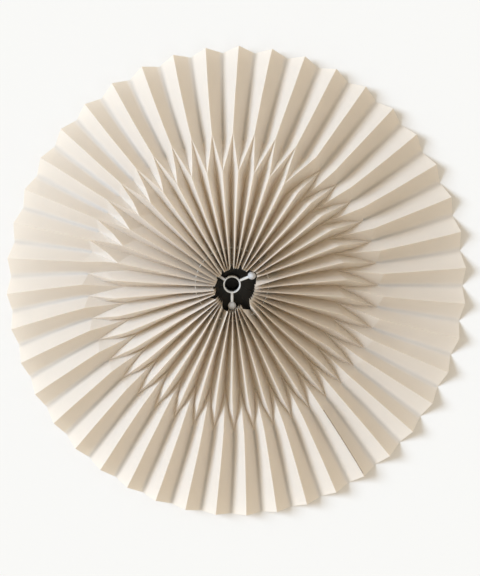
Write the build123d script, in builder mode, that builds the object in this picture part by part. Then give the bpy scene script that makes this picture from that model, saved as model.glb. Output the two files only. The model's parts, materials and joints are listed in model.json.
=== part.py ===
from build123d import *
import os
from math import atan2, cos, pi, radians, sin, sqrt, tan

# A pleated paper lampshade: one sheet of paper folded into ridges and valleys, with a row of
# crossed folds where every ridge of the brim turns into a valley of the collar, drawn together
# round a black lampholder. A ring on the lampholder carries three arms with ball ends, which
# hold the ends of the pleats. Millimetres, +Z up. The shade stands on the valley corners of its
# rim, at Z = 0, and the origin is the middle of the rim's box.

os.makedirs("parts", exist_ok=True)

# The paper, and the pleats it is folded into, none of them opened flatter than the share given
ridge_count = 43
facet_width = 42.0
paper_thickness = 0.3
flattest_pleat = 0.98
mitre_damping = 0.0005

# Where the rim, the row of crossed folds and the opening lie, from the middle
rim_radius = 447.0
rim_oval = 4.5
outer_fold_radius = 284.0
cross_fold_radius = 246.0
inner_fold_radius = 209.0
opening_radius = 47.0

# The first ridge's direction, and how far folding by hand opened some pleats more than others
first_ridge_turn = 5.2
drift_once = 2.08
drift_once_turn = -79.0
drift_twice = 1.93
drift_twice_turn = -1.3

# The collar is the steep middle of the shade, which leans, lies a little aside and is twisted
collar_height = 57.0
collar_slope = 27.0
collar_lean = 8.0
collar_lean_turn = 270.0
collar_slide = 10.5
collar_slide_turn = 140.0
collar_twist = 1.4

# How far the crossings of the folds stand above or below the facets beside them
crossing_rise = 7.0
crossing_rise_turn = 150.0

# The pleat ends crowd into bunches between these directions, and this share of the way closed
bunch_gap_turns = [15.0, 42.0, 68.0, 95.0, 130.0, 150.0, 187.0, 212.0, 247.0, 302.0]
bunch_share = 0.72

# Rows of points that each facet is made from, in the brim and in the collar
brim_rows = 3
collar_rows = 4

# The opening's pleat ends stop further out on one side
opening_shift = 7.0
opening_shift_turn = 313.0

# The lampholder: a barrel whose bore takes a lamp cap, and a dish that bears the pleats
bore_radius = 13.5
bore_depth = 44.0
barrel_wall = 2.2
barrel_floor = 3.0
nipple_radius = 4.6
nipple_length = 9.0
nipple_wall = 2.4
dish_bearing_radius = 94.0
dish_rise = 2.0
dish_thickness = 2.0
dish_lip_height = 4.0
dish_rib_count = 12
dish_rib_width = 4.0
dish_rib_height = 1.6
dish_rib_reach = 52.0
flange_radius = 23.0
flange_thickness = 2.5
seat_gap = 0.3

# The carrier on the lampholder: a ring, three arms and a ball on each arm
ring_top = 92.0
ring_wall = 2.8
ring_height = 13.0
ring_chamfer = 0.5
arm_radius = 2.6
arm_root_drop = 6.0
ball_radius = 7.4
ball_sides = 16
ball_turns = [27.0, 149.0, 270.0]
ball_insets = [-1.6, -9.1, 3.6]
balls_over_paper = [True, False, True]
ball_socket_depth = 6.0
fit_gap = 0.1
seating_steps = 20
faces_near_ball = 240

crease_count = 2 * ridge_count


def unit(turn):
    """The direction in plan, as x and y, of an angle in degrees."""
    return cos(radians(turn)), sin(radians(turn))


def crease_turn(crease):
    """The direction of a crease of the brim, in degrees. Even creases are its ridges."""
    even_turn = first_ridge_turn + 360.0 * crease / crease_count
    once = drift_once * sin(radians(even_turn + drift_once_turn))
    twice = drift_twice * sin(radians(2 * even_turn + drift_twice_turn))
    return even_turn + once + twice


def brim_side(crease):
    """Plus one for a ridge of the brim and minus one for a valley. The collar is the reverse."""
    return 1 if crease % 2 == 0 else -1


def half_depth(crease, radius):
    """Half of the depth that facets of the paper's width need to close up to that radius."""
    spread = radians(crease_turn(crease + 1) - crease_turn(crease - 1)) / 2
    plan_width = min(spread * radius, flattest_pleat * facet_width)
    return sqrt(facet_width ** 2 - plan_width ** 2) / 2


def leaned(x, y, up):
    """A point of the upright collar, leaned over, slid aside and raised to its place."""
    along_x, along_y = unit(collar_lean_turn)
    slide_x, slide_y = unit(collar_slide_turn)
    along = x * along_x + y * along_y
    lean = radians(collar_lean)
    shift = along * cos(lean) + up * sin(lean) - along
    height = collar_height + up * cos(lean) - along * sin(lean)
    return (
        x + shift * along_x + collar_slide * slide_x,
        y + shift * along_y + collar_slide * slide_y,
        height,
    )


def collar_point(crease, radius, turn):
    """A point of the collar on a crease, at a radius of its middle surface."""
    side = -brim_side(crease)
    half = half_depth(crease, radius)
    slope = radians(collar_slope)
    away = radius + side * half * sin(slope)
    up = (cross_fold_radius - radius) * tan(slope) + side * half * cos(slope)
    ux, uy = unit(turn + collar_twist)
    return leaned(away * ux, away * uy, up)


def brim_point(crease, along):
    """A point of the brim on a crease, from 0 at the rim to 1 at the outer tips of the folds."""
    turn = crease_turn(crease)
    ux, uy = unit(turn)
    base = leaned(cross_fold_radius * ux, cross_fold_radius * uy, 0)[2]
    rim_radius_here = rim_radius - rim_oval * cos(radians(2 * turn))
    slope = atan2(base - half_depth(crease, rim_radius), rim_radius_here - cross_fold_radius)
    radius = rim_radius_here + (outer_fold_radius - rim_radius_here) * along
    half = half_depth(crease, radius)
    side = brim_side(crease)
    slide_x, slide_y = unit(collar_slide_turn)
    slid = collar_slide * along / 2
    twist_x, twist_y = unit(turn + collar_twist * along / 2)
    away = radius + side * half * sin(slope)
    foot = half_depth(crease, rim_radius) * cos(slope)
    height = foot + (rim_radius_here - radius) * tan(slope) + side * half * cos(slope)
    return (away * twist_x + slid * slide_x, away * twist_y + slid * slide_y, height)


def opening_radius_at(turn):
    """The radius of the collar's middle surface where the pleats end, in that direction."""
    return opening_radius + opening_shift * cos(radians(turn - opening_shift_turn))


def bunched_turn(turn):
    """Where a pleat end lies once the ends are crowded into bunches between the gaps."""
    gaps = bunch_gap_turns + [bunch_gap_turns[0] + 360.0]
    within = (turn - gaps[0]) % 360.0 + gaps[0]
    for low, high in zip(gaps, gaps[1:]):
        if low <= within < high:
            middle = (low + high) / 2
            return turn + (middle - within) * (1 - bunch_share)
    return turn


def crossing_point(crease):
    """Where the two rows of folds cross, in the facet from this crease to the next."""
    corners = [brim_point(crease, 1), brim_point(crease + 1, 1)]
    for side_crease in (crease, crease + 1):
        corners.append(collar_point(side_crease, inner_fold_radius, crease_turn(side_crease)))
    turn = (crease_turn(crease) + crease_turn(crease + 1)) / 2
    x, y, z = [sum(values) / 4 for values in zip(*corners)]
    return (x, y, z + crossing_rise * cos(radians(turn - crossing_rise_turn)))


def sheet_columns():
    """The sheet's points: for each crease its brim points, collar points and its crossing."""
    brim = []
    collar = []
    crossing = []
    for crease in range(crease_count):
        turn = crease_turn(crease)
        end_turn = bunched_turn(turn)
        brim.append([brim_point(crease, row / brim_rows) for row in range(brim_rows + 1)])
        column = []
        for row in range(collar_rows + 1):
            share = row / collar_rows
            radius = inner_fold_radius + (opening_radius_at(turn) - inner_fold_radius) * share
            column.append(collar_point(crease, radius, turn + (end_turn - turn) * share))
        collar.append(column)
        crossing.append(crossing_point(crease))
    return brim, collar, crossing


def sheet_mesh():
    """The folded sheet's points and its triangles, wound so that they face up."""
    brim, collar, crossing = sheet_columns()
    points = []
    index = {}
    for name, table in (("brim", brim), ("collar", collar)):
        for crease, column in enumerate(table):
            for row, point in enumerate(column):
                index[(name, crease, row)] = len(points)
                points.append(Vector(*point))
    for crease, point in enumerate(crossing):
        index[("crossing", crease)] = len(points)
        points.append(Vector(*point))
    triangles = []
    for crease in range(crease_count):
        following = (crease + 1) % crease_count
        for name, rows in (("brim", brim_rows), ("collar", collar_rows)):
            for row in range(rows):
                here = index[(name, crease, row)]
                here_in = index[(name, crease, row + 1)]
                there = index[(name, following, row)]
                there_in = index[(name, following, row + 1)]
                triangles += [(here, there, here_in), (there, there_in, here_in)]
        crossed = index[("crossing", crease)]
        tip = index[("brim", crease, brim_rows)]
        next_tip = index[("brim", following, brim_rows)]
        inner = index[("collar", crease, 0)]
        next_inner = index[("collar", following, 0)]
        triangles += [(tip, next_tip, crossed), (tip, crossed, inner)]
        triangles += [(next_tip, next_inner, crossed), (inner, crossed, next_inner)]
    return points, triangles, index


def mitre_offsets(points, triangles):
    """For each point, the step that lifts every triangle round it by half the paper's thickness."""
    rows = [[] for _ in points]
    for triangle in triangles:
        a, b, c = [points[i] for i in triangle]
        normal = (b - a).cross(c - a)
        area = normal.length
        for i in triangle:
            rows[i].append((area, normal / area))
    offsets = []
    for faces in rows:
        total = sum(area for area, _ in faces)
        damping = mitre_damping * total
        m = [[damping if r == c else 0.0 for c in range(3)] for r in range(3)]
        v = [0.0, 0.0, 0.0]
        for area, normal in faces:
            n = (normal.X, normal.Y, normal.Z)
            for r in range(3):
                v[r] += area * n[r] * paper_thickness / 2
                for c in range(3):
                    m[r][c] += area * n[r] * n[c]
        offsets.append(solved(m, v))
    return offsets


def solved(m, v):
    """The solution of three equations in three unknowns, by Cramer's rule."""
    columns = list(zip(*m))
    whole = Vector(*columns[0]).dot(Vector(*columns[1]).cross(Vector(*columns[2])))
    answer = []
    for place in range(3):
        swapped = [Vector(*column) for column in columns]
        swapped[place] = Vector(*v)
        answer.append(swapped[0].dot(swapped[1].cross(swapped[2])) / whole)
    return Vector(*answer)


def sheet_surfaces():
    """The sheet's upper and under points, centred on the origin and standing at Z = 0."""
    points, triangles, index = sheet_mesh()
    offsets = mitre_offsets(points, triangles)
    under = [point - step for point, step in zip(points, offsets)]
    upper = [point + step for point, step in zip(points, offsets)]
    across = [point.X for point in upper + under]
    along = [point.Y for point in upper + under]
    middle = Vector((min(across) + max(across)) / 2, (min(along) + max(along)) / 2, 0)
    shift = Vector(0, 0, -min(point.Z for point in under)) - middle
    under = [point + shift for point in under]
    upper = [point + shift for point in upper]
    return upper, under, triangles, index, shift


def triangle_face(a, b, c):
    """A flat face with three corners."""
    return Face(Wire.make_polygon([a, b, c], close=True))


def sheet_solid(upper, under, triangles, index):
    """The folded sheet as one closed solid of the paper's thickness."""
    faces = []
    for a, b, c in triangles:
        faces.append(triangle_face(upper[a], upper[b], upper[c]))
        faces.append(triangle_face(under[a], under[c], under[b]))
    for crease in range(crease_count):
        following = (crease + 1) % crease_count
        for name, row in (("brim", 0), ("collar", collar_rows)):
            a = index[(name, crease, row)]
            b = index[(name, following, row)]
            faces.append(triangle_face(upper[a], under[a], under[b]))
            faces.append(triangle_face(upper[a], under[b], upper[b]))
    return Solid(Shell(faces))


upper_points, under_points, sheet_triangles, sheet_index, sheet_shift = sheet_surfaces()

with BuildPart() as pleated_shade:
    add(sheet_solid(upper_points, under_points, sheet_triangles, sheet_index))

# The collar's own axis and planes, which the lampholder and the carrier share
collar_origin = Vector(*leaned(0, 0, 0)) + sheet_shift
collar_axis = (Vector(*leaned(0, 0, 1)) - Vector(*leaned(0, 0, 0))).normalized()
collar_x = (Vector(1, 0, 0) - collar_axis * collar_axis.X).normalized()
collar_y = collar_axis.cross(collar_x)
collar_plane = Plane(origin=collar_origin, x_dir=collar_x, z_dir=collar_axis)
turning_axis = Axis(collar_origin, collar_axis)


def side_plane(turn):
    """The plane through the collar's axis, with x pointing out that way and y along the axis."""
    outward = collar_x * cos(radians(turn)) + collar_y * sin(radians(turn))
    return Plane(origin=collar_origin, x_dir=outward, z_dir=outward.cross(collar_axis))


def collar_section(radius, side, beyond):
    """Distance from the axis and height along it of a point square to the collar's middle surface."""
    plan_width = pi * radius / ridge_count
    reach = side * (sqrt(facet_width ** 2 - plan_width ** 2) / 2 + beyond)
    slope = radians(collar_slope)
    away = radius + reach * sin(slope)
    return away, (cross_fold_radius - radius) * tan(slope) + reach * cos(slope)


def valley_mitre(radius):
    """How far a collar valley's fold reaches below its middle line, for the paper's thickness."""
    plan_width = bunch_share * pi * radius / ridge_count
    return paper_thickness / 2 * facet_width / plan_width


# The lampholder's levels, along the collar's axis from its base
seat_away, seat_up = collar_section(dish_bearing_radius, -1, valley_mitre(dish_bearing_radius))
lip_away = seat_away - seat_gap * sin(radians(collar_slope))
lip_up = seat_up - seat_gap * cos(radians(collar_slope))
barrel_radius = bore_radius + barrel_wall
ring_radius = bore_radius + ring_wall
barrel_top = ring_top - ring_height
bore_floor = barrel_top - bore_depth
dish_top = lip_up - dish_lip_height + dish_rise
flange_top = dish_top - dish_thickness


with BuildPart() as bearing_dish:
    with BuildSketch(side_plane(0)):
        with BuildLine():
            Polyline(
                (barrel_radius + fit_gap, dish_top),
                (flange_radius, dish_top),
                (lip_away - dish_thickness, lip_up - dish_lip_height),
                (lip_away - dish_thickness, lip_up),
                (lip_away, lip_up),
                (lip_away, lip_up - dish_lip_height - dish_thickness),
                (flange_radius, flange_top),
                (barrel_radius + fit_gap, flange_top),
                close=True,
            )
        make_face()
    revolve(axis=turning_axis)
    with BuildSketch(collar_plane.offset(lip_up - dish_lip_height)):
        rib_length = dish_rib_reach - barrel_radius - fit_gap
        with PolarLocations(dish_rib_reach - rib_length / 2, dish_rib_count):
            Rectangle(rib_length, dish_rib_width)
    extrude(amount=dish_rise + dish_rib_height)
    with BuildSketch(collar_plane.offset(flange_top)):
        Circle(barrel_radius + fit_gap)
    extrude(amount=dish_thickness + dish_rise + dish_rib_height, mode=Mode.SUBTRACT)

with BuildPart() as lampholder_barrel:
    with BuildSketch(side_plane(0)):
        with BuildLine():
            Polyline(
                (bore_radius, barrel_top),
                (barrel_radius, barrel_top),
                (barrel_radius, flange_top),
                (flange_radius, flange_top),
                (flange_radius, flange_top - flange_thickness),
                (barrel_radius, flange_top - flange_thickness),
                (barrel_radius, bore_floor - barrel_floor),
                (nipple_radius + nipple_wall, bore_floor - barrel_floor),
                (nipple_radius + nipple_wall, bore_floor - barrel_floor - nipple_length),
                (nipple_radius, bore_floor - barrel_floor - nipple_length),
                (nipple_radius, bore_floor),
                (bore_radius, bore_floor),
                close=True,
            )
        make_face()
    revolve(axis=turning_axis)

with BuildPart() as carrier_ring:
    with BuildSketch(collar_plane.offset(barrel_top)):
        Circle(ring_radius)
        Circle(bore_radius, mode=Mode.SUBTRACT)
    extrude(amount=ring_height)
    chamfer(carrier_ring.edges().filter_by(GeomType.CIRCLE), ring_chamfer)


def ball_centre(turn, inset, over_paper):
    """Where a ball comes to rest at the pleat ends, lowered on to them or raised under them."""
    low_away, low_up = collar_section(opening_radius_at(turn), -1, 0)
    reach = low_away - inset
    plane = side_plane(turn)
    corner = Vector(*plane.from_local_coords((low_away, low_up, 0)))
    near_paper = pleated_shade.faces().sort_by_distance(corner)[:faces_near_ball]
    up, heading = (ring_top + facet_width, -1) if over_paper else (dish_top + ball_radius, 1)
    for _ in range(seating_steps):
        centre = Vector(*plane.from_local_coords((reach, up, 0)))
        gap = min(face.distance_to(centre) for face in near_paper)
        up += heading * (gap - ball_radius - seat_gap)
    return reach, up


carrier_parts = []
arm_root_up = ring_top - arm_root_drop
for number, (turn, inset, over_paper) in enumerate(zip(ball_turns, ball_insets, balls_over_paper), 1):
    plane = side_plane(turn)
    ball_away, ball_up = ball_centre(turn, inset, over_paper)
    arm_length = sqrt((ball_away - bore_radius) ** 2 + (ball_up - arm_root_up) ** 2)
    root = Vector(*plane.from_local_coords((bore_radius, arm_root_up, 0)))
    centre = Vector(*plane.from_local_coords((ball_away, ball_up, 0)))
    along = (centre - root).normalized()
    arm_plane = Plane(origin=root, z_dir=along)
    arm_end = arm_length - ball_radius + ball_socket_depth
    with BuildPart() as arm:
        with BuildSketch(arm_plane):
            Circle(arm_radius)
        extrude(amount=arm_end)
        with BuildSketch(collar_plane.offset(arm_root_up - ring_height)):
            Circle(ring_radius)
        extrude(amount=2 * ring_height, mode=Mode.SUBTRACT)
    with BuildPart() as ball:
        with BuildSketch(Plane(origin=centre, x_dir=plane.x_dir, z_dir=plane.z_dir)):
            RegularPolygon(ball_radius, ball_sides)
            split(bisect_by=Plane.YZ)
        revolve(axis=Axis(centre, collar_axis))
        with BuildSketch(arm_plane.offset(arm_end - ball_socket_depth - arm_radius)):
            Circle(arm_radius + fit_gap)
        extrude(amount=ball_socket_depth + arm_radius, mode=Mode.SUBTRACT)
    carrier_parts.append((f"carrier_arm_{number}", arm.part))
    carrier_parts.append((f"arm_ball_{number}", ball.part))

pleated_shade.part.label = "pleated_shade"
bearing_dish.part.label = "bearing_dish"
lampholder_barrel.part.label = "lampholder_barrel"
carrier_ring.part.label = "carrier_ring"
export_step(pleated_shade.part, "parts/pleated_shade.step")
export_step(bearing_dish.part, "parts/bearing_dish.step")
export_step(lampholder_barrel.part, "parts/lampholder_barrel.step")
export_step(carrier_ring.part, "parts/carrier_ring.step")
for part_name, part in carrier_parts:
    part.label = part_name
    export_step(part, f"parts/{part_name}.step")
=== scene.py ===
import json
from math import atan2, cos, hypot, pi, radians, sin, sqrt, tan

import bpy
from mathutils import Matrix, Vector


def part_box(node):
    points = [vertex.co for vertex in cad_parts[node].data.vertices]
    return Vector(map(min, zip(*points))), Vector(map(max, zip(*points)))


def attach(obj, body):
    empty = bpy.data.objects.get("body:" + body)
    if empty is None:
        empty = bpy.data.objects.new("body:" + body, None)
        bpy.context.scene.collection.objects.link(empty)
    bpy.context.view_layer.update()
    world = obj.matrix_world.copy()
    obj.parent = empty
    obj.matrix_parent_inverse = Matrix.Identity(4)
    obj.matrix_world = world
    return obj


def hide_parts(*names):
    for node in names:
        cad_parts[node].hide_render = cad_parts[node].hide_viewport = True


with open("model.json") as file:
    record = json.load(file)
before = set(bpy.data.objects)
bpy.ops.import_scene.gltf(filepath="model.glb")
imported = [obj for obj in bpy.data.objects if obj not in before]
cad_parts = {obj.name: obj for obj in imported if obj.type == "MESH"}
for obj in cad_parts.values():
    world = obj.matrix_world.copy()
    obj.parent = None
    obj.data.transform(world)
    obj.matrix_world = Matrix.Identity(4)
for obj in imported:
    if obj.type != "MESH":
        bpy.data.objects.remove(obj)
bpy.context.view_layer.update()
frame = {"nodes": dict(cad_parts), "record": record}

bl_info = {
    "name": "Pleated Paper Lampshade",
    "version": (1, 0, 0),
    "blender": (4, 5, 0),
    "location": "View3D > Sidebar > Lampshade",
    "description": "Dresses a folded paper lampshade and its lampholder, and lights them from above",
    "category": "Object",
}

ROOT = "root"
# The bore that takes the lamp, whose axis is the collar's too
BORE = frame["record"]["mounts"][0]

# The direction of the first ridge, in degrees from +X
FIRST_RIDGE = 5.2
# How far folding by hand opened some pleats of the brim more than others, in degrees
DRIFT_ONCE, DRIFT_ONCE_TURN = 2.08, -79.0
DRIFT_TWICE, DRIFT_TWICE_TURN = 1.93, -1.3
# The row of crossed folds lies further out to one side and sways a little
ROW_SLIDE, ROW_SLIDE_TURN = 0.012, 260.0
ROW_SWAY, ROW_SWAY_TURN = 1.3, 105.0
# The collar leans, lies a little aside and is twisted, with angles in degrees
COLLAR_LEAN, COLLAR_LEAN_TURN = 8.0, 270.0
COLLAR_SLIDE, COLLAR_SLIDE_TURN = 0.0105, 140.0
COLLAR_TWIST = 1.4
# From the middle of the folding to the frame's origin
SHEET_SHIFT = Vector((0.00001, -0.00234, 0.00046))
# The crossings stand above their facets in one arc, and are pressed below them elsewhere
RAISED_ARC_TURN, RAISED_ARC_SPREAD = 115.0, 60.0
# The pleat ends crowd into bunches between these creases, with notches of these depths
BUNCH_GAPS = {
    2: 0.007, 8: 0.004, 14: 0.008, 20: 0.009, 28: 0.006,
    34: 0.005, 42: 0.007, 48: 0.018, 58: 0.014, 72: 0.020,
}
# The power by which the crowding grows along a crease, so that it comes late
BUNCH_ONSET = 5
# The opening's pleat ends stop further out on one side
OPENING_SHIFT, OPENING_SHIFT_TURN = 0.0075, 320.0
# The share of the paper's width to which a pleat can be spread
FLATTEST_PLEAT = 0.98
# The droop of the pleat ends fades over this many radii of the opening, from half a radius on
DROOP_REACH = 1.2
# The paper is creased where it turns by more than this
CREASE_ANGLE = radians(6)
# The moulded pieces have an edge where they turn by more than this
MOULDED_EDGE = radians(30)


class LampshadePaper(bpy.types.PropertyGroup):
    """Sizes and colours of the folded paper."""

    colour: bpy.props.FloatVectorProperty(
        name="Paper colour", description="Colour of the paper in plain light",
        subtype="COLOR", default=(0.965, 0.962, 0.957))
    # Painted shade: a darker, warmer colour laid down the collar's valleys, where shade falls in the deep
    # pleats.
    valley: bpy.props.FloatVectorProperty(
        name="Valley colour", description="Colour of the paper down in the collar's valleys",
        subtype="COLOR", default=(0.95, 0.905, 0.84))
    # Painted highlight: a lighter colour laid along the collar's ridges, where the light catches them.
    painted_crest_highlight: bpy.props.FloatVectorProperty(
        name="Crest colour", description="Colour of the paper along the collar's ridges",
        subtype="COLOR", default=(0.99, 0.99, 0.99))
    glow: bpy.props.FloatVectorProperty(
        name="Light through", description="Colour that light takes on as it passes through the paper",
        subtype="COLOR", default=(1.0, 0.90, 0.76))
    thinness: bpy.props.FloatProperty(
        name="Thinness", description="Share of the light that passes through the paper",
        default=0.5, min=0.0, max=1.0)
    ridges: bpy.props.IntProperty(
        name="Ridges", description="Number of ridges round the brim", default=43, min=12, max=80)
    facet_width: bpy.props.FloatProperty(
        name="Facet width", description="Width of the paper from one fold to the next",
        subtype="DISTANCE", unit="LENGTH", default=0.042)
    thickness: bpy.props.FloatProperty(
        name="Paper thickness", description="Thickness of the paper",
        subtype="DISTANCE", unit="LENGTH", default=0.0003)
    rim_radius: bpy.props.FloatProperty(
        name="Rim radius", description="Distance of the rim from the middle",
        subtype="DISTANCE", unit="LENGTH", default=0.447)
    rim_oval: bpy.props.FloatProperty(
        name="Rim oval", description="How much the rim is drawn in across and let out along",
        subtype="DISTANCE", unit="LENGTH", default=0.0045)
    outer_folds: bpy.props.FloatProperty(
        name="Outer folds", description="Distance of the crossed folds' outer tips from the middle",
        subtype="DISTANCE", unit="LENGTH", default=0.284)
    cross_folds: bpy.props.FloatProperty(
        name="Crossed folds", description="Distance of the crossed folds' middle from the middle",
        subtype="DISTANCE", unit="LENGTH", default=0.246)
    inner_folds: bpy.props.FloatProperty(
        name="Inner folds", description="Distance of the crossed folds' inner tips from the middle",
        subtype="DISTANCE", unit="LENGTH", default=0.209)
    opening: bpy.props.FloatProperty(
        name="Opening", description="Radius of the opening that the pleat ends leave",
        subtype="DISTANCE", unit="LENGTH", default=0.0365)
    collar_height: bpy.props.FloatProperty(
        name="Collar height", description="Height at which the steep collar starts",
        subtype="DISTANCE", unit="LENGTH", default=0.057)
    collar_slope: bpy.props.FloatProperty(
        name="Collar slope", description="Slope of the collar",
        subtype="ANGLE", unit="ROTATION", default=radians(27))
    crossing_drop: bpy.props.FloatProperty(
        name="Crossing drop", description="How far most crossings are pressed below their facets",
        subtype="DISTANCE", unit="LENGTH", default=0.016)
    crossing_rise: bpy.props.FloatProperty(
        name="Crossing rise", description="How far the raised crossings stand above their facets",
        subtype="DISTANCE", unit="LENGTH", default=0.014)
    bunching: bpy.props.FloatProperty(
        name="Bunching", description="Share of their spacing that bunched pleat ends keep",
        default=0.74, min=0.3, max=1.0)
    squareness: bpy.props.FloatProperty(
        name="End squareness", description="How square the pleat ends are cut, from slanted to upright",
        default=0.85, min=0.0, max=1.0)
    ball_room: bpy.props.FloatProperty(
        name="Ball room", description="Gap between a ball and the pleat ends that pass round it",
        subtype="DISTANCE", unit="LENGTH", default=0.0012)
    droop: bpy.props.FloatProperty(
        name="End droop", description="How far the pleat ends droop at the opening",
        subtype="DISTANCE", unit="LENGTH", default=0.006)
    facet_cuts: bpy.props.IntProperty(
        name="Facet cuts", description="Cuts along each side of a facet's parts", default=3, min=1, max=4)
    wave_height: bpy.props.FloatProperty(
        name="Wave height", description="How far the facets and folds wander from true",
        subtype="DISTANCE", unit="LENGTH", default=0.0014)
    wave_length: bpy.props.FloatProperty(
        name="Wave length", description="Distance from one wave to the next",
        subtype="DISTANCE", unit="LENGTH", default=0.09)
    fibre_length: bpy.props.FloatProperty(
        name="Fibre length", description="Length of the fibres that show in the paper",
        subtype="DISTANCE", unit="LENGTH", default=0.006)


class LampshadeSeam(bpy.types.PropertyGroup):
    """Place and size of the glued seam, where one end of the sheet laps over the other, and the colour of the
    painted shadow on the lap's cut edge.
    """

    turn: bpy.props.FloatProperty(
        name="Seam direction", description="Direction of the ridge that the seam runs along, from +X",
        subtype="ANGLE", unit="ROTATION", default=radians(303.2))
    search: bpy.props.FloatProperty(
        name="Ridge search", description="How far to either side the ridge is looked for",
        subtype="ANGLE", unit="ROTATION", default=radians(1.6))
    inner: bpy.props.FloatProperty(
        name="Seam start", description="Distance from the middle where the lap starts",
        subtype="DISTANCE", unit="LENGTH", default=0.300)
    outer: bpy.props.FloatProperty(
        name="Seam end", description="Distance from the middle where the lap ends, at the rim",
        subtype="DISTANCE", unit="LENGTH", default=0.446)
    lap: bpy.props.FloatProperty(
        name="Lap", description="Width of the lap on the facet before the ridge",
        subtype="DISTANCE", unit="LENGTH", default=0.010)
    edge: bpy.props.FloatProperty(
        name="Edge", description="How far the lap's cut edge stands past the ridge",
        subtype="DISTANCE", unit="LENGTH", default=0.0009)
    # Painted shadow: a dark brown laid on the lap's cut edge, where the lap overhangs the facet past the
    # ridge.
    painted_edge_shadow: bpy.props.FloatVectorProperty(
        name="Glue colour", description="Colour of the glued edge",
        subtype="COLOR", default=(0.42, 0.33, 0.24))


class LampshadeThread(bpy.types.PropertyGroup):
    """Size and place of the thread that gathers the pleats."""

    colour: bpy.props.FloatVectorProperty(
        name="Thread colour", description="Colour of the gathering thread",
        subtype="COLOR", default=(0.86, 0.83, 0.77))
    radius: bpy.props.FloatProperty(
        name="Thread radius", description="Half of the thread's thickness",
        subtype="DISTANCE", unit="LENGTH", default=0.0006)
    loop_radius: bpy.props.FloatProperty(
        name="Loop radius", description="Distance of the thread from the collar's axis",
        subtype="DISTANCE", unit="LENGTH", default=0.068)
    height: bpy.props.FloatProperty(
        name="Thread height", description="Height of the thread above the rim, on the collar's axis",
        subtype="DISTANCE", unit="LENGTH", default=0.147)


class LampshadeFittings(bpy.types.PropertyGroup):
    """Colours of the lampholder and its carrier, and the sizes of the block and the balls."""

    black: bpy.props.FloatVectorProperty(
        name="Holder colour", description="Colour of the moulded lampholder",
        subtype="COLOR", default=(0.006, 0.0062, 0.007))
    ring: bpy.props.FloatVectorProperty(
        name="Ring colour", description="Colour of the carrier's ring",
        subtype="COLOR", default=(0.78, 0.79, 0.81))
    arm: bpy.props.FloatVectorProperty(
        name="Arm colour", description="Colour of the three arms",
        subtype="COLOR", default=(0.95, 0.95, 0.955))
    ball: bpy.props.FloatVectorProperty(
        name="Ball colour", description="Colour of the balls on the arms",
        subtype="COLOR", default=(0.66, 0.66, 0.68))
    speckle: bpy.props.FloatVectorProperty(
        name="Speckle colour", description="Colour of the specks in the balls",
        subtype="COLOR", default=(0.36, 0.355, 0.36))
    block_radius: bpy.props.FloatProperty(
        name="Block radius", description="Radius of the block at the bottom of the bore",
        subtype="DISTANCE", unit="LENGTH", default=0.0132)
    block_height: bpy.props.FloatProperty(
        name="Block height", description="Height of the block at the bottom of the bore",
        subtype="DISTANCE", unit="LENGTH", default=0.004)
    ball_radius: bpy.props.FloatProperty(
        name="Ball radius", description="Radius of a ball",
        subtype="DISTANCE", unit="LENGTH", default=0.0074)
    socket_radius: bpy.props.FloatProperty(
        name="Socket radius", description="Radius of the socket for the arm",
        subtype="DISTANCE", unit="LENGTH", default=0.0029)
    socket_depth: bpy.props.FloatProperty(
        name="Socket depth", description="Depth of the socket for the arm",
        subtype="DISTANCE", unit="LENGTH", default=0.0055)


class LampshadeStudio(bpy.types.PropertyGroup):
    """The floor, the light and the camera."""

    floor_colour: bpy.props.FloatVectorProperty(
        name="Floor colour", description="Colour of the floor", subtype="COLOR", default=(0.90, 0.88, 0.87))
    key_strength: bpy.props.FloatProperty(
        name="Key strength", description="Strength of the wide light", default=2.4, min=0.0)
    key_colour: bpy.props.FloatVectorProperty(
        name="Key colour", description="Colour of the wide light",
        subtype="COLOR", default=(0.84, 1.0, 1.19))
    sky_colour: bpy.props.FloatVectorProperty(
        name="Sky colour", description="Colour of the even light all round",
        subtype="COLOR", default=(1.0, 0.92, 0.77))
    key_turn: bpy.props.FloatProperty(
        name="Key direction", description="Where the wide light stands, turned from +X",
        subtype="ANGLE", unit="ROTATION", default=radians(166))
    key_height: bpy.props.FloatProperty(
        name="Key height", description="How high the wide light stands above the floor",
        subtype="ANGLE", unit="ROTATION", default=radians(38))
    key_spread: bpy.props.FloatProperty(
        name="Key spread", description="How wide the light is, as seen from the object",
        subtype="ANGLE", unit="ROTATION", default=radians(28))
    sky_strength: bpy.props.FloatProperty(
        name="Sky strength", description="Strength of the even light all round", default=0.66, min=0.0)
    camera_height: bpy.props.FloatProperty(
        name="Camera height", description="Height of the camera above the floor",
        subtype="DISTANCE", unit="LENGTH", default=2.93)
    view_height: bpy.props.FloatProperty(
        name="View height", description="Length of floor that fills the picture from bottom to top",
        subtype="DISTANCE", unit="LENGTH", default=1.124)
    camera_aside: bpy.props.FloatVectorProperty(
        name="Camera aside", description="How far the camera stands from the middle of the rim",
        subtype="XYZ", unit="LENGTH", size=2, default=(0.0068, -0.0146))


def only(piece):
    """Selects one piece alone and makes it active."""
    bpy.ops.object.select_all(action="DESELECT")
    piece.hide_viewport = False
    piece.select_set(True)
    bpy.context.view_layer.objects.active = piece


def new_piece(name, points, faces):
    """A piece made of points and faces, selected alone and active."""
    mesh = bpy.data.meshes.new(name)
    mesh.from_pydata(points, [], faces)
    piece = bpy.data.objects.new(name, mesh)
    bpy.context.scene.collection.objects.link(piece)
    only(piece)
    return piece


def open_with_faces(piece, wanted):
    """Opens the active piece for shaping, with only the wanted faces selected."""
    bpy.ops.object.mode_set(mode="EDIT")
    bpy.ops.mesh.select_mode(type="FACE")
    bpy.ops.mesh.select_all(action="DESELECT")
    bpy.ops.object.mode_set(mode="OBJECT")
    for face in piece.data.polygons:
        face.select = wanted(face)
    bpy.ops.object.mode_set(mode="EDIT")


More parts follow.
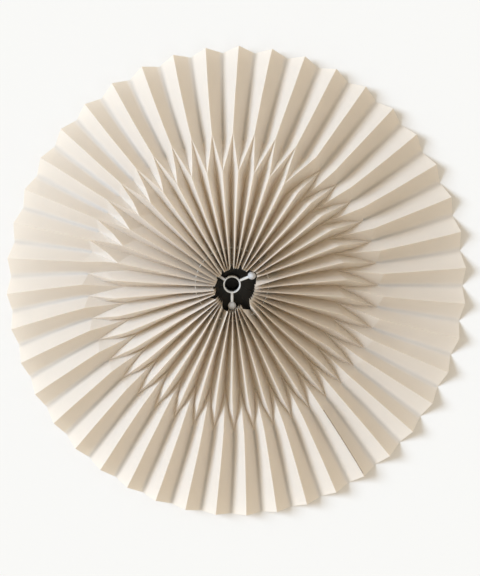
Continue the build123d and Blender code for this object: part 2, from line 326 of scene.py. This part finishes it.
def turn_from_upright(direction):
    """The turn that brings what stands upright into a direction."""
    return Vector((0, 0, 1)).rotation_difference(Vector(direction)).to_matrix().to_4x4()


def dress(piece, material, slot_name, *replaced):
    """Gives a finished piece its material and its body, and hides the nodes that it stands for. The slot name
    is not used.
    """
    piece.data.materials.clear()
    piece.data.materials.append(material)
    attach(piece, ROOT)
    if replaced:
        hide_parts(*replaced)


def apply_modifiers(piece):
    """Applies every modifier of a piece, in order."""
    only(piece)
    for modifier in list(piece.modifiers):
        bpy.ops.object.modifier_apply(modifier=modifier.name)


class Nodes:
    """A short way to write a material's nodes and the links between them."""

    def __init__(self, name):
        self.material = bpy.data.materials.new(name)
        self.material.use_nodes = True
        self.tree = self.material.node_tree
        self.tree.nodes.clear()
        self.output = self.tree.nodes.new("ShaderNodeOutputMaterial")

    def add(self, kind, inputs=None, **settings):
        node = self.tree.nodes.new("ShaderNode" + kind)
        for key, value in settings.items():
            setattr(node, key, value)
        for key, value in (inputs or {}).items():
            if isinstance(value, bpy.types.NodeSocket):
                self.tree.links.new(value, node.inputs[key])
            else:
                node.inputs[key].default_value = value
        return node

    def blend(self, share, first, second):
        """A colour between two, each a socket or a colour."""
        # A Mix node takes colours at its inputs 6 and 7, and gives one at its output 2.
        mix = self.add("Mix", data_type="RGBA")
        for socket, value in ((mix.inputs[0], share), (mix.inputs[6], first), (mix.inputs[7], second)):
            if isinstance(value, bpy.types.NodeSocket):
                self.tree.links.new(value, socket)
            else:
                socket.default_value = value
        return mix.outputs[2]

    def across_and_along(self):
        """Where a point lies on its facet: across from an even crease, and along from the rim."""
        split = self.add("SeparateXYZ", {"Vector": self.add("UVMap", uv_map="facets").outputs[0]})
        return split.outputs[0], split.outputs[1]

    def finish(self, shader):
        self.tree.links.new(shader.outputs[0], self.output.inputs["Surface"])
        return self.material


def shade(colour, share=1.0):
    """A colour with full alpha, as it is or made lighter or darker by a share."""
    return tuple(value * share for value in colour) + (1.0,)


def paper_material(paper):
    """Thin ivory paper: long soft clouds in the pulp, short fibres, and warm light coming through, with
    painted shade down the collar's valleys and a painted highlight along its ridges.
    """
    nodes = Nodes("ivory_paper")
    place = nodes.add("TexCoord").outputs["Object"]
    clouds = nodes.add("TexNoise", {"Vector": place, "Scale": 18.0, "Detail": 4.0, "Roughness": 0.6})
    fibre_scale = 1.0 / paper.fibre_length
    stretched = nodes.add("Mapping", {"Vector": place, "Scale": (1.0, 0.3, 0.6)}, vector_type="TEXTURE")
    fibres = nodes.add("TexNoise", {
        "Vector": stretched.outputs[0], "Scale": fibre_scale,
        "Detail": 6.0, "Roughness": 0.7, "Distortion": 1.6})
    grain = nodes.add("TexNoise", {"Vector": place, "Scale": 2400.0, "Detail": 2.0})
    cloud_share = nodes.add("MapRange", {
        "Value": clouds.outputs["Fac"], "From Min": 0.3, "From Max": 0.7, "To Min": 0.0, "To Max": 1.0})
    fibre_share = nodes.add("MapRange", {
        "Value": fibres.outputs["Fac"], "From Min": 0.35, "From Max": 0.65, "To Min": 0.0, "To Max": 0.5})
    pulp = nodes.blend(cloud_share.outputs[0], shade(paper.colour, 0.985), shade(paper.colour, 1.015))
    sheet = nodes.blend(fibre_share.outputs[0], pulp, shade(paper.colour, 0.965))
    across, along = nodes.across_and_along()
    # Painted shade: the paper turns darker and warmer towards the collar's valleys, which lie on the even
    # creases.
    painted_valley_shade_mask = nodes.add("MapRange", {
        "Value": across, "From Min": 0.4, "From Max": 0.0}, interpolation_type="SMOOTHSTEP")
    # Painted highlight: the paper turns lighter towards the collar's ridges, which lie on the odd creases.
    high = nodes.add("MapRange", {
        "Value": across, "From Min": 0.55, "From Max": 0.9}, interpolation_type="SMOOTHSTEP")
    collar = nodes.add("MapRange", {"Value": along, "From Min": 1.6, "From Max": 2.3})
    painted_valley_shade_share = nodes.add("Math", {0: painted_valley_shade_mask.outputs[0], 1: collar.outputs[0]}, operation="MULTIPLY")
    painted_highlight_share = nodes.add("Math", {0: high.outputs[0], 1: collar.outputs[0]}, operation="MULTIPLY")
    with_painted_highlight = nodes.blend(painted_highlight_share.outputs[0], sheet, shade(paper.painted_crest_highlight))
    colour = nodes.blend(painted_valley_shade_share.outputs[0], with_painted_highlight, shade(paper.valley))
    relief = nodes.add("Math", {0: fibres.outputs["Fac"], 1: grain.outputs["Fac"]}, operation="ADD")
    bump = nodes.add("Bump", {"Height": relief.outputs[0], "Strength": 0.12, "Distance": 0.0003})
    face = nodes.add("BsdfPrincipled", {
        "Base Color": colour, "Roughness": 0.82, "Specular IOR Level": 0.25, "Normal": bump.outputs[0]})
    through = nodes.add("BsdfTranslucent", {"Color": shade(paper.glow), "Normal": bump.outputs[0]})
    mix = nodes.add("MixShader", {0: paper.thinness, 1: face.outputs[0], 2: through.outputs[0]})
    return nodes.finish(mix)


def moulded_material(name, colour, roughness):
    """Moulded plastic with a fine even grain and faint wear."""
    nodes = Nodes(name)
    place = nodes.add("TexCoord").outputs["Object"]
    grain = nodes.add("TexNoise", {"Vector": place, "Scale": 1800.0, "Detail": 3.0})
    wear = nodes.add("TexNoise", {"Vector": place, "Scale": 120.0, "Detail": 5.0, "Roughness": 0.65})
    wear_share = nodes.add("MapRange", {"Value": wear.outputs["Fac"], "From Min": 0.35, "From Max": 0.7})
    tint = nodes.blend(wear_share.outputs[0], shade(colour, 0.92), shade(colour, 1.08))
    rough = nodes.add("MapRange", {
        "Value": wear.outputs["Fac"], "From Min": 0.3, "From Max": 0.7,
        "To Min": roughness - 0.06, "To Max": roughness + 0.08})
    bump = nodes.add("Bump", {"Height": grain.outputs["Fac"], "Strength": 0.06, "Distance": 0.0002})
    plastic = nodes.add("BsdfPrincipled", {
        "Base Color": tint, "Roughness": rough.outputs[0], "Normal": bump.outputs[0]})
    return nodes.finish(plastic)


def speckled_material(name, colour, speckle):
    """Pale moulding with fine darker specks all through it."""
    nodes = Nodes(name)
    place = nodes.add("TexCoord").outputs["Object"]
    specks = nodes.add("TexNoise", {"Vector": place, "Scale": 900.0, "Detail": 3.0, "Roughness": 0.7})
    share = nodes.add("MapRange", {"Value": specks.outputs["Fac"], "From Min": 0.48, "From Max": 0.72})
    tint = nodes.blend(share.outputs[0], shade(colour), shade(speckle))
    bump = nodes.add("Bump", {"Height": specks.outputs["Fac"], "Strength": 0.15, "Distance": 0.0003})
    moulding = nodes.add("BsdfPrincipled", {
        "Base Color": tint, "Roughness": 0.55, "Normal": bump.outputs[0]})
    return nodes.finish(moulding)


def floor_material(studio):
    """Matt pale board, light enough to read as white."""
    nodes = Nodes("pale_floor")
    board = nodes.add("BsdfDiffuse", {"Color": shade(studio.floor_colour)})
    return nodes.finish(board)


def wave_of(turn, start):
    """A wave round the shade: one where a direction meets its start, and minus one across from it."""
    return cos(radians(turn - start))


def outward(turn):
    """The direction in plan of an angle in degrees."""
    return Vector((cos(radians(turn)), sin(radians(turn)), 0.0))


class Folding:
    """Where each point of the folded sheet lies. Even creases are ridges of the brim."""

    brim_rows = 4
    collar_rows = 9

    def __init__(self, paper):
        self.paper = paper
        self.creases = 2 * paper.ridges
        # The points on a crease, brim first and then collar, and the crossing in the facet after it
        self.column_size = (self.brim_rows + 1) + (self.collar_rows + 1) + 1
        self.axis_foot = self.leaned(Vector((0, 0, 0)))
        # These two balls rest among the pleat ends, and the other one lies under them
        self.balls = [self.ball_place(name) for name in ("arm_ball_1", "arm_ball_3")]

    def turn(self, crease):
        """The direction of a crease of the brim, in degrees."""
        even = FIRST_RIDGE + 360.0 * crease / self.creases
        once = DRIFT_ONCE * sin(radians(even + DRIFT_ONCE_TURN))
        return even + once + DRIFT_TWICE * sin(radians(2 * even + DRIFT_TWICE_TURN))

    @staticmethod
    def side(crease):
        """Plus one for a ridge of the brim and minus one for a valley. The collar is the reverse."""
        return 1 if crease % 2 == 0 else -1

    def half_depth(self, crease, radius):
        """Half of the depth that facets of the paper's width need to close up to that radius."""
        width = self.paper.facet_width
        spread = radians(self.turn(crease + 1) - self.turn(crease - 1)) / 2
        return sqrt(width ** 2 - min(spread * radius, FLATTEST_PLEAT * width) ** 2) / 2

    def leaned(self, point):
        """A point of the upright collar, leaned over, slid aside and raised to its place."""
        over = outward(COLLAR_LEAN_TURN)
        along = point.dot(over)
        lean = radians(COLLAR_LEAN)
        moved = point + (along * cos(lean) + point.z * sin(lean) - along) * over
        moved += COLLAR_SLIDE * outward(COLLAR_SLIDE_TURN)
        moved.z = self.paper.collar_height + point.z * cos(lean) - along * sin(lean)
        return moved

    def collar_point(self, crease, radius, turn):
        """A point of the collar on a crease, at a radius of its middle surface."""
        paper = self.paper
        reach = -self.side(crease) * self.half_depth(crease, radius)
        near = max(0.0, 1.0 - (radius - paper.opening / 2) / (DROOP_REACH * paper.opening))
        up = (paper.cross_folds - radius) * tan(paper.collar_slope) - paper.droop * near ** 2
        away = radius + reach * sin(paper.collar_slope)
        point = away * outward(turn + COLLAR_TWIST)
        point.z = up + reach * cos(paper.collar_slope)
        return self.leaned(point)

    def brim_point(self, crease, along):
        """A point of the brim on a crease, from 0 at the rim to 1 at the outer tips of the folds."""
        paper = self.paper
        turn = self.turn(crease)
        base = self.leaned(paper.cross_folds * outward(turn)).z
        rim = paper.rim_radius - paper.rim_oval * wave_of(2 * turn, 0)
        rim_half = self.half_depth(crease, rim)
        slope = atan2(base - rim_half, rim - paper.cross_folds)
        tip = paper.outer_folds + ROW_SLIDE * wave_of(turn, ROW_SLIDE_TURN)
        radius = rim + (tip - rim) * along
        reach = self.side(crease) * self.half_depth(crease, radius)
        sway = ROW_SWAY * wave_of(2 * turn, 2 * ROW_SWAY_TURN)
        point = (radius + reach * sin(slope)) * outward(turn + sway * along)
        point += COLLAR_SLIDE * along / 2 * outward(COLLAR_SLIDE_TURN)
        point.z = rim_half * cos(slope) + (rim - radius) * tan(slope) + reach * cos(slope)
        return point

    def ball_place(self, name):
        """A ball's direction and distance from the collar's axis, and its radius, seen along the axis."""
        low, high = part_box(name)
        centre = (low + high) / 2 - SHEET_SHIFT - self.axis_foot
        lean = radians(COLLAR_LEAN)
        over = outward(COLLAR_LEAN_TURN)
        along = centre.dot(over) * cos(lean) - centre.z * sin(lean)
        aside = centre - centre.dot(over) * over
        flat = Vector((aside.x, aside.y, 0)) + along * over
        return atan2(flat.y, flat.x), flat.length, (high - low).x / 2

    def end_radius(self, crease, turn):
        """The radius where a pleat ends, cut back square, and further back at a notch or a ball."""
        paper = self.paper
        radius = paper.opening + OPENING_SHIFT * wave_of(turn, OPENING_SHIFT_TURN)
        for ball_turn, reach, ball_radius in self.balls:
            off = radians(turn + COLLAR_TWIST) - ball_turn
            room = (ball_radius + paper.ball_room) ** 2 - (reach * sin(off)) ** 2
            if room > 0 and cos(off) > 0:
                radius = max(radius, reach * cos(off) + sqrt(room))
        radius += BUNCH_GAPS.get(crease, 0.0)
        cut = self.side(crease) * paper.squareness * self.half_depth(crease, radius)
        return radius + cut * sin(paper.collar_slope)

    def end_turn(self, crease):
        """The direction in which a pleat ends, crowded into its bunch."""
        turn = self.turn(crease)
        first = min(BUNCH_GAPS)
        gaps = sorted(BUNCH_GAPS) + [first + self.creases]
        within = (crease - first) % self.creases + first
        for low, high in zip(gaps, gaps[1:]):
            if low < within < high:
                middle = (self.turn(low) + self.turn(high)) / 2
                turn += (middle - self.turn(within)) * (1 - self.paper.bunching)
        return turn

    def crossing(self, crease):
        """Where the two rows of folds cross, in the facet from this crease to the next."""
        paper = self.paper
        corners = [self.brim_point(crease, 1), self.brim_point(crease + 1, 1)]
        corners += [self.collar_column(crease)[0], self.collar_column(crease + 1)[0]]
        middle = sum(corners, Vector()) / len(corners)
        turn = (self.turn(crease) + self.turn(crease + 1)) / 2
        raised = wave_of(turn, RAISED_ARC_TURN) > cos(radians(RAISED_ARC_SPREAD))
        middle.z += paper.crossing_rise if raised else -paper.crossing_drop
        return middle

    def collar_column(self, crease):
        """The collar's points on a crease, from the crossed folds to the opening."""
        turn = self.turn(crease)
        last_turn = self.end_turn(crease % self.creases)
        last_turn += 360.0 * (crease // self.creases)
        start = self.paper.inner_folds + ROW_SLIDE * wave_of(turn, ROW_SLIDE_TURN)
        last = self.end_radius(crease % self.creases, last_turn)
        column = []
        for row in range(self.collar_rows + 1):
            share = sin(pi / 2 * row / self.collar_rows)
            radius = start + (last - start) * share
            column.append(self.collar_point(crease, radius, turn + (last_turn - turn) * share ** BUNCH_ONSET))
        return column

    def in_brim_valley(self, corner):
        """Whether a corner of the mesh lies on a valley of the brim."""
        crease, row = divmod(corner, self.column_size)
        return crease % 2 == 1 and row <= self.brim_rows

    def mesh(self):
        """The sheet's points, its faces, which face up, and each point's place on its facet.

        A place is 0 on an even crease and 1 on an odd one, and runs from 0 at the rim to 1 at the
        brim's end, and from 2 at the crossed folds to 3 at the opening.
        """
        points = []
        faces = []
        places = []
        for crease in range(self.creases):
            points += [self.brim_point(crease, row / self.brim_rows) for row in range(self.brim_rows + 1)]
            points += self.collar_column(crease)
            points.append(self.crossing(crease))
            odd = float(crease % 2)
            places += [(odd, row / self.brim_rows) for row in range(self.brim_rows + 1)]
            places += [(odd, 2 + row / self.collar_rows) for row in range(self.collar_rows + 1)]
            places.append((0.5, 1.5))
            here = crease * self.column_size
            there = (crease + 1) % self.creases * self.column_size
            for row in range(self.brim_rows + 1 + self.collar_rows):
                if row != self.brim_rows:
                    faces.append((here + row, there + row, there + row + 1, here + row + 1))
            tip, next_tip = here + self.brim_rows, there + self.brim_rows
            crossed = here + self.column_size - 1
            faces += [(tip, next_tip, crossed), (tip, crossed, tip + 1)]
            faces += [(next_tip, next_tip + 1, crossed), (tip + 1, crossed, next_tip + 1)]
        return [point + SHEET_SHIFT for point in points], faces, places


class LAMPSHADE_OT_paper(bpy.types.Operator):
    """Fold the paper: smooth facets between crisp folds, with the slight waves of hand folding"""

    bl_idname = "lampshade.paper"
    bl_label = "Folded paper"

    def execute(self, context):
        paper = context.scene.lampshade_paper
        folding = Folding(paper)
        points, faces, places = folding.mesh()
        piece = new_piece("folded_paper", points, faces)
        mesh = piece.data
        facets = mesh.uv_layers.new(name="facets")
        for loop in mesh.loops:
            facets.data[loop.index].uv = places[loop.vertex_index]
        bpy.ops.object.mode_set(mode="EDIT")
        bpy.ops.mesh.select_mode(type="EDGE")
        bpy.ops.mesh.select_all(action="DESELECT")
        bpy.ops.mesh.edges_select_sharp(sharpness=CREASE_ANGLE)
        bpy.ops.mesh.select_non_manifold(extend=True)
        bpy.ops.mesh.mark_sharp()
        bpy.ops.object.mode_set(mode="OBJECT")
        # The brim's valleys are only half creased, so the light runs softly across them.
        for edge in mesh.edges:
            if all(folding.in_brim_valley(corner) for corner in edge.vertices):
                edge.use_edge_sharp = False
        bpy.ops.object.mode_set(mode="EDIT")
        bpy.ops.mesh.select_all(action="SELECT")
        bpy.ops.mesh.subdivide(number_cuts=paper.facet_cuts)
        bpy.ops.object.mode_set(mode="OBJECT")
        self.wave(piece, paper)
        solid = piece.modifiers.new("thickness", "SOLIDIFY")
        solid.thickness = paper.thickness
        solid.offset = 0.0
        apply_modifiers(piece)
        bpy.ops.object.shade_smooth()
        dress(piece, paper_material(paper), "paper", "pleated_shade")
        return {"FINISHED"}

    @staticmethod
    def wave(piece, paper):
        """Moves the paper by soft waves, alike on its two faces."""
        clouds = bpy.data.textures.new("folding_waves", type="CLOUDS")
        clouds.noise_scale = paper.wave_length
        clouds.cloud_type = "COLOR"
        clouds.noise_depth = 1
        waves = piece.modifiers.new("waves", "DISPLACE")
        waves.texture = clouds
        waves.texture_coords = "LOCAL"
        waves.direction = "RGB_TO_XYZ"
        waves.strength = paper.wave_height
        waves.mid_level = 0.5
        apply_modifiers(piece)


class LAMPSHADE_OT_seam(bpy.types.Operator):
    """Lap one end of the sheet over the other along a ridge of the brim, with painted shadow coloured onto
    the lap's cut edge
    """

    bl_idname = "lampshade.seam"
    bl_label = "Glued seam"

    steps = 24
    tries = 64
    # The side of a section that is the lap's cut edge, which takes the painted shadow
    painted_shadow_side = 1

    def execute(self, context):
        seam = context.scene.lampshade_seam
        sheet = bpy.data.objects["folded_paper"]
        thickness = context.scene.lampshade_paper.thickness
        rows = []
        for step in range(self.steps + 1):
            radius = seam.inner + (seam.outer - seam.inner) * step / self.steps
            rows.append(self.section(sheet, seam, radius, thickness))
        sides = len(rows[0])
        faces = []
        for step in range(self.steps):
            for side in range(sides):
                first = step * sides + side
                second = step * sides + (side + 1) % sides
                faces.append((first, second, second + sides, first + sides))
        faces.append(tuple(reversed(range(sides))))
        faces.append(tuple(range(self.steps * sides, (self.steps + 1) * sides)))
        piece = new_piece("seam_lap", [point for row in rows for point in row], faces)
        bpy.ops.object.mode_set(mode="EDIT")
        bpy.ops.mesh.select_all(action="SELECT")
        bpy.ops.mesh.normals_make_consistent(inside=False)
        bpy.ops.object.mode_set(mode="OBJECT")
        mesh = piece.data
        facets = mesh.uv_layers.new(name="facets")
        # All of the lap lies on the brim, where the paper has its plain colour.
        for corner in facets.data:
            corner.uv = (0.5, 0.5)
        dress(piece, bpy.data.materials["ivory_paper"], "paper")
        # The cut edge takes a dark brown: painted shadow where the lap overhangs the facet past the ridge.
        mesh.materials.append(moulded_material("seam_painted_shadow", seam.painted_edge_shadow, roughness=0.6))
        for face in mesh.polygons[:self.steps * sides]:
            if face.index % sides == self.painted_shadow_side:
                face.material_index = 1
        return {"FINISHED"}

    def section(self, sheet, seam, radius, thickness):
        """Four corners of the lap at a distance from the middle: its back, past and under the ridge."""
        def on_paper(turn):
            above = Vector((radius * cos(turn), radius * sin(turn), 1.0))
            hit, spot, _, _ = sheet.ray_cast(above, Vector((0, 0, -1)))
            if not hit:
                raise RuntimeError("The seam runs off the paper")
            return spot

        turns = [seam.turn + seam.search * (2 * i / self.tries - 1) for i in range(self.tries + 1)]
        ridge_turn = max(turns, key=lambda turn: on_paper(turn).z)
        ridge = on_paper(ridge_turn)
        lift = Vector((0, 0, thickness))
        back = on_paper(ridge_turn - seam.lap / radius)
        near = on_paper(ridge_turn + 2 * seam.edge / radius)
        past = ridge + (ridge - back).normalized() * seam.edge
        return [back + lift / 4, past + lift, near + lift / 4, ridge - lift]


class LAMPSHADE_OT_thread(bpy.types.Operator):
    """Run the gathering thread through the pleats, near their ends"""

    bl_idname = "lampshade.thread"
    bl_label = "Gathering thread"

    steps, sides = 172, 8

    def execute(self, context):
        thread = context.scene.lampshade_thread
        low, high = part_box("carrier_ring")
        middle = (low + high) / 2
        place = Matrix.Translation((middle.x, middle.y, thread.height))
        bpy.ops.mesh.primitive_torus_add(
            major_segments=self.steps, minor_segments=self.sides,
            major_radius=thread.loop_radius, minor_radius=thread.radius)
        piece = context.object
        piece.name = "gathering_thread"
        piece.data.transform(place @ turn_from_upright(BORE["axis"]))
        piece.location = (0, 0, 0)
        bpy.ops.object.shade_smooth()
        dress(piece, moulded_material("waxed_thread", thread.colour, roughness=0.6), "paper")
        return {"FINISHED"}


class LAMPSHADE_OT_fittings(bpy.types.Operator):
    """Finish the lampholder, the ring and the arms, and lay the block at the bottom of the bore"""

    bl_idname = "lampshade.fittings"
    bl_label = "Lampholder and carrier"

    block_sides = 48
    # The tongue's width as a share of its length
    tongue_share = 0.45
    # A face looks up the bore when its normal's height is above this
    facing_up = 0.9

    def execute(self, context):
        fittings = context.scene.lampshade_fittings
        black = moulded_material("black_moulding", fittings.black, roughness=0.42)
        ring = moulded_material("ring_plating", fittings.ring, roughness=0.34)
        arm = moulded_material("arm_enamel", fittings.arm, roughness=0.35)
        finishes = {"bearing_dish": black, "lampholder": black, "carrier_ring": ring, "carrier_arm": arm}
        for name, node in frame["nodes"].items():
            for start, material in finishes.items():
                if name.startswith(start):
                    node.data.materials.clear()
                    node.data.materials.append(material)
        self.contact_block(fittings, black)
        return {"FINISHED"}

    def contact_block(self, fittings, black):
        """The block at the bottom of the bore, with the tongue that a lamp's tip touches."""
        height = fittings.block_height
        bpy.ops.object.select_all(action="DESELECT")
        bpy.ops.mesh.primitive_cylinder_add(
            vertices=self.block_sides, radius=fittings.block_radius, depth=height)
        piece = bpy.context.object
        piece.name = "contact_block"
        open_with_faces(piece, lambda face: face.normal.z > self.facing_up)
        bpy.ops.mesh.inset(thickness=fittings.block_radius / 2)
        bpy.ops.transform.resize(value=(1.0, self.tongue_share, 1.0))
        bpy.ops.mesh.extrude_region_move(TRANSFORM_OT_translate={"value": (0, 0, height / 2)})
        bpy.ops.object.mode_set(mode="OBJECT")
        bore_length = BORE["dims"]["length_mm"] / 1000
        piece.data.transform(Matrix.Translation((0, 0, (height - bore_length) / 2)))
        piece.data.transform(Matrix.Translation(BORE["pos_m"]) @ turn_from_upright(BORE["axis"]))
        piece.location = (0, 0, 0)
        bpy.ops.object.shade_smooth_by_angle(angle=MOULDED_EDGE)
        dress(piece, black, "holder_black")


class LAMPSHADE_OT_balls(bpy.types.Operator):
    """Put a smooth speckled ball, with a socket for its arm, on each of the three arms"""

    bl_idname = "lampshade.balls"
    bl_label = "Arm balls"

    segments, rings = 40, 28
    # The width of the edge round a socket
    socket_lip = 0.0002

    def execute(self, context):
        fittings = context.scene.lampshade_fittings
        finish = speckled_material("ball_moulding", fittings.ball, fittings.speckle)
        for number in (1, 2, 3):
            low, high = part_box(f"arm_ball_{number}")
            centre = (low + high) / 2
            arm_low, arm_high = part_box(f"carrier_arm_{number}")
            towards_arm = (arm_low + arm_high) / 2 - centre
            piece = self.ball(fittings)
            piece.name = f"smooth_ball_{number}"
            piece.data.transform(Matrix.Translation(centre) @ turn_from_upright(towards_arm))
            dress(piece, finish, "ball_grey", f"arm_ball_{number}")
        return {"FINISHED"}

    def ball(self, fittings):
        """A ball round the origin, its top opened into a socket."""
        def in_socket(face):
            centre = face.center
            return centre.z > 0 and hypot(centre.x, centre.y) < fittings.socket_radius

        bpy.ops.object.select_all(action="DESELECT")
        bpy.ops.mesh.primitive_uv_sphere_add(
            segments=self.segments, ring_count=self.rings, radius=fittings.ball_radius)
        piece = bpy.context.object
        open_with_faces(piece, in_socket)
        bpy.ops.mesh.inset(thickness=self.socket_lip)
        bpy.ops.mesh.extrude_region_move(
            TRANSFORM_OT_translate={"value": (0, 0, -fittings.socket_depth)})
        bpy.ops.mesh.select_all(action="SELECT")
        bpy.ops.mesh.normals_make_consistent(inside=False)
        bpy.ops.object.mode_set(mode="OBJECT")
        bpy.ops.object.shade_smooth_by_angle(angle=MOULDED_EDGE)
        return piece


class LAMPSHADE_OT_studio(bpy.types.Operator):
    """Lay the floor and set the light and the camera"""

    bl_idname = "lampshade.studio"
    bl_label = "Floor, light and camera"

    floor_size = 12.0
    light_stand = 3.0

    def execute(self, context):
        studio = context.scene.lampshade_studio
        bpy.ops.mesh.primitive_plane_add(size=self.floor_size, location=(0, 0, 0))
        floor = context.object
        floor.name = "studio_floor"
        floor.data.materials.append(floor_material(studio))
        self.light(context, studio)
        self.camera(context, studio)
        return {"FINISHED"}

    def light(self, context, studio):
        """One wide soft sun from the side, and an even sky."""
        bpy.ops.object.light_add(type="SUN", location=(0, 0, self.light_stand))
        key = context.object
        key.name = "wide_light"
        key.data.energy = studio.key_strength
        key.data.color = studio.key_colour
        key.data.angle = studio.key_spread
        key.rotation_euler = (0, pi / 2 - studio.key_height, studio.key_turn)
        world = bpy.data.worlds.new("studio_sky")
        world.use_nodes = True
        sky = world.node_tree.nodes["Background"]
        sky.inputs["Color"].default_value = shade(studio.sky_colour)
        sky.inputs["Strength"].default_value = studio.sky_strength
        context.scene.world = world

    @staticmethod
    def camera(context, studio):
        """A camera straight above, a little aside of the rim's middle."""
        aside = Vector((studio.camera_aside[0], studio.camera_aside[1], studio.camera_height))
        bpy.ops.object.camera_add(location=aside, rotation=(0, 0, 0))
        camera = context.object
        camera.name = "view_from_above"
        camera.data.sensor_fit = "VERTICAL"
        camera.data.lens = camera.data.sensor_height * studio.camera_height / studio.view_height
        context.scene.camera = camera
        context.scene.view_settings.view_transform = "Standard"


class LAMPSHADE_PT_panel(bpy.types.Panel):
    """Lists the lampshade's pieces and the stage"""

    bl_label = "Pleated lampshade"
    bl_idname = "LAMPSHADE_PT_panel"
    bl_space_type = "VIEW_3D"
    bl_region_type = "UI"
    bl_category = "Lampshade"

    def draw(self, context):
        for operator in OPERATORS:
            self.layout.operator(operator.bl_idname)
        for group in GROUPS:
            settings = getattr(context.scene, group)
            box = self.layout.box()
            for name in settings.__annotations__:
                box.prop(settings, name)


GROUPS = {
    "lampshade_paper": LampshadePaper,
    "lampshade_seam": LampshadeSeam,
    "lampshade_thread": LampshadeThread,
    "lampshade_fittings": LampshadeFittings,
    "lampshade_studio": LampshadeStudio,
}
OPERATORS = [
    LAMPSHADE_OT_paper, LAMPSHADE_OT_seam, LAMPSHADE_OT_thread,
    LAMPSHADE_OT_fittings, LAMPSHADE_OT_balls, LAMPSHADE_OT_studio,
]


def register():
    for group in GROUPS.values():
        bpy.utils.register_class(group)
    for operator in OPERATORS:
        bpy.utils.register_class(operator)
    bpy.utils.register_class(LAMPSHADE_PT_panel)
    for name, group in GROUPS.items():
        setattr(bpy.types.Scene, name, bpy.props.PointerProperty(type=group))


def unregister():
    for name in GROUPS:
        delattr(bpy.types.Scene, name)
    bpy.utils.unregister_class(LAMPSHADE_PT_panel)
    for operator in reversed(OPERATORS):
        bpy.utils.unregister_class(operator)
    for group in reversed(GROUPS.values()):
        bpy.utils.unregister_class(group)


def main():
    register()
    bpy.ops.lampshade.paper()
    bpy.ops.lampshade.seam()
    bpy.ops.lampshade.thread()
    bpy.ops.lampshade.fittings()
    bpy.ops.lampshade.balls()
    bpy.ops.lampshade.studio()


if __name__ == "__main__":
    main()
